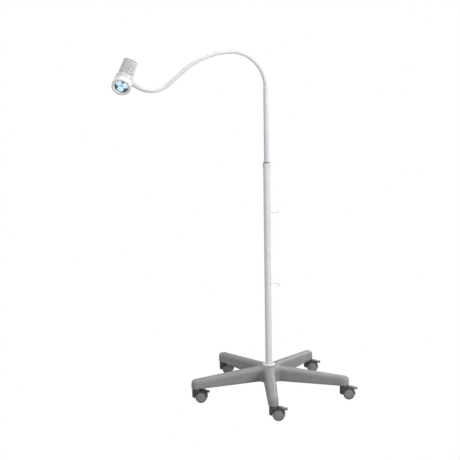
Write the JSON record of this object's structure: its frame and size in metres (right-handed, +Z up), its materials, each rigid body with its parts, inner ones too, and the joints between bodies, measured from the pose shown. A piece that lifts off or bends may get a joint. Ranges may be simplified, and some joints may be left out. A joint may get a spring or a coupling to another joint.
{
  "type": "examination lamp",
  "caption": "Mobile LED examination lamp: gooseneck arm on a telescopic mast over a five-star castor base, with an angled finned head.",
  "frame": {"origin": "on the floor, on the mast axis", "axes": "+Z up the mast, +X to the side of the lead hooks, the arm leans towards -X and a little towards -Y"},
  "size_m": [1.0147, 0.6778, 1.5387],
  "materials": {
    "base_plastic": "moulded, fine grain",
    "castor_plastic": "moulded, satin",
    "wheel_nylon": "moulded tread with lighter caps",
    "steel": "zinc plated",
    "stem_steel": "zinc plated",
    "screw_steel": "plated",
    "mast_paint": "gloss powder coat",
    "upper_paint": "gloss powder coat",
    "white_plastic": "satin moulded",
    "bush_plastic": "moulded",
    "black_rubber": "moulded",
    "neck_sleeve": "soft satin sleeve",
    "neck_steel": "wound wire",
    "head_white": "moulded, slightly warm white",
    "window": "clear polycarbonate",
    "lens": "clear acrylic lens",
    "lens_holder": "moulded",
    "circuit_board": "coated laminate",
    "led": "emitter",
    "sink_alloy": "painted cast alloy",
    "cap_grey": "moulded"
  },
  "bodies": {
    "root": {"star_base": "base_plastic", "hub_socket": "steel", "base_bolt": "steel", "foot_plug": "bush_plastic", "stem_bushes": "bush_plastic", "base_flange": "white_plastic", "lower_tube": "mast_paint", "tube_bush": "bush_plastic", "hook_upper": "mast_paint", "hook_lower": "mast_paint", "inlet_grommet": "black_rubber", "clamp_ring": "bush_plastic"},
    "clamp": {"clamp_collar": "white_plastic", "seal_ring": "black_rubber"},
    "mast": {"upper_tube": "upper_paint", "glide_bush": "bush_plastic"},
    "neck_1": {"neck_ferrule": "white_plastic", "neck_sleeve_1": "neck_sleeve", "neck_core_1": "neck_steel"},
    "neck_2": {"neck_sleeve_2": "neck_sleeve", "neck_core_2": "neck_steel"},
    "neck_3": {"neck_sleeve_3": "neck_sleeve", "neck_core_3": "neck_steel"},
    "neck_4": {"neck_sleeve_4": "neck_sleeve", "neck_core_4": "neck_steel", "end_ferrule": "white_plastic"},
    "head": {"head_joint": "head_white", "head_housing": "head_white", "front_ring": "head_white", "front_window": "window", "lens_holder": "lens_holder", "lenses": "lens", "led_board": "circuit_board", "led_chips": "led", "board_screws": "screw_steel", "heat_sink": "sink_alloy", "driver_board": "circuit_board", "rear_cap": "cap_grey", "switch_unit": "circuit_board"},
    "button": {"push_button": "white_plastic"},
    "castor_1": {"castor_hood_1": "castor_plastic", "castor_stem_1": "stem_steel"},
    "wheels_1": {"castor_wheels_1": "wheel_nylon"},
    "pedal_1": {"castor_pedal_1": "castor_plastic"},
    "castor_2": {"castor_hood_2": "castor_plastic", "castor_stem_2": "stem_steel"},
    "wheels_2": {"castor_wheels_2": "wheel_nylon"},
    "pedal_2": {"castor_pedal_2": "castor_plastic"},
    "castor_3": {"castor_hood_3": "castor_plastic", "castor_stem_3": "stem_steel"},
    "wheels_3": {"castor_wheels_3": "wheel_nylon"},
    "pedal_3": {"castor_pedal_3": "castor_plastic"},
    "castor_4": {"castor_hood_4": "castor_plastic", "castor_stem_4": "stem_steel"},
    "wheels_4": {"castor_wheels_4": "wheel_nylon"},
    "pedal_4": {"castor_pedal_4": "castor_plastic"},
    "castor_5": {"castor_hood_5": "castor_plastic", "castor_stem_5": "stem_steel"},
    "wheels_5": {"castor_wheels_5": "wheel_nylon"},
    "pedal_5": {"castor_pedal_5": "castor_plastic"}
  },
  "joints": [
    {"name": "clamp_turn", "type": "hinge", "parent": "root", "child": "clamp", "pos_m": [0, 0, 1.04], "axis": [0, 0, 1], "range_deg": [0, 120]},
    {"name": "mast_slide", "type": "slide", "parent": "root", "child": "mast", "axis": [0, 0, 1], "range_m": [-0.3, 0.17]},
    {"name": "arm_swivel", "type": "hinge", "parent": "mast", "child": "neck_1", "pos_m": [0, 0, 1.36], "axis": [0, 0, 1], "range_deg": [-170, 170]},
    {"name": "neck_bend_1", "type": "hinge", "parent": "neck_1", "child": "neck_2", "pos_m": [-0.14501, -0.06762, 1.53], "axis": [0.4226, -0.9063, 0], "range_deg": [-30, 30]},
    {"name": "neck_bend_2", "type": "hinge", "parent": "neck_2", "child": "neck_3", "pos_m": [-0.3403, -0.15868, 1.4558], "axis": [0.4226, -0.9063, 0], "range_deg": [-30, 30]},
    {"name": "neck_bend_3", "type": "hinge", "parent": "neck_3", "child": "neck_4", "pos_m": [-0.40101, -0.18699, 1.40347], "axis": [0.4226, -0.9063, 0], "range_deg": [-30, 30]},
    {"name": "head_swivel", "type": "hinge", "parent": "neck_4", "child": "head", "pos_m": [-0.57371, -0.26753, 1.43254], "axis": [-0.7686, -0.3584, 0.5299], "range_deg": [-120, 120]},
    {"name": "button_push", "type": "slide", "parent": "head", "child": "button", "axis": [-0.3223, -0.36, -0.8755], "range_m": [0, 0.0015], "stiffness_N_per_m": 900},
    {"name": "castor_1_swivel", "type": "hinge", "parent": "root", "child": "castor_1", "pos_m": [0.01806, -0.34453, 0.064], "axis": [0, 0, 1], "continuous": true},
    {"name": "wheels_1_roll", "type": "hinge", "parent": "castor_1", "child": "wheels_1", "pos_m": [0.03906, -0.34453, 0.025], "axis": [0, 1, 0], "continuous": true},
    {"name": "pedal_1_brake", "type": "hinge", "parent": "castor_1", "child": "pedal_1", "pos_m": [0.03406, -0.34453, 0.054], "axis": [0, 1, 0], "range_deg": [0, 8]},
    {"name": "castor_2_swivel", "type": "hinge", "parent": "root", "child": "castor_2", "pos_m": [0.33324, -0.08929, 0.064], "axis": [0, 0, 1], "continuous": true},
    {"name": "wheels_2_roll", "type": "hinge", "parent": "castor_2", "child": "wheels_2", "pos_m": [0.35424, -0.08929, 0.025], "axis": [0, 1, 0], "continuous": true},
    {"name": "pedal_2_brake", "type": "hinge", "parent": "castor_2", "child": "pedal_2", "pos_m": [0.34924, -0.08929, 0.054], "axis": [0, 1, 0], "range_deg": [0, 8]},
    {"name": "castor_3_swivel", "type": "hinge", "parent": "root", "child": "castor_3", "pos_m": [0.1879, 0.28934, 0.064], "axis": [0, 0, 1], "continuous": true},
    {"name": "wheels_3_roll", "type": "hinge", "parent": "castor_3", "child": "wheels_3", "pos_m": [0.2089, 0.28934, 0.025], "axis": [0, 1, 0], "continuous": true},
    {"name": "pedal_3_brake", "type": "hinge", "parent": "castor_3", "child": "pedal_3", "pos_m": [0.2039, 0.28934, 0.054], "axis": [0, 1, 0], "range_deg": [0, 8]},
    {"name": "castor_4_swivel", "type": "hinge", "parent": "root", "child": "castor_4", "pos_m": [-0.21712, 0.26811, 0.064], "axis": [0, 0, 1], "continuous": true},
    {"name": "wheels_4_roll", "type": "hinge", "parent": "castor_4", "child": "wheels_4", "pos_m": [-0.19612, 0.26811, 0.025], "axis": [0, 1, 0], "continuous": true},
    {"name": "pedal_4_brake", "type": "hinge", "parent": "castor_4", "child": "pedal_4", "pos_m": [-0.20112, 0.26811, 0.054], "axis": [0, 1, 0], "range_deg": [0, 8]},
    {"name": "castor_5_swivel", "type": "hinge", "parent": "root", "child": "castor_5", "pos_m": [-0.32209, -0.12364, 0.064], "axis": [0, 0, 1], "continuous": true},
    {"name": "wheels_5_roll", "type": "hinge", "parent": "castor_5", "child": "wheels_5", "pos_m": [-0.30108, -0.12364, 0.025], "axis": [0, 1, 0], "continuous": true},
    {"name": "pedal_5_brake", "type": "hinge", "parent": "castor_5", "child": "pedal_5", "pos_m": [-0.30608, -0.12364, 0.054], "axis": [0, 1, 0], "range_deg": [0, 8]}
  ]
}
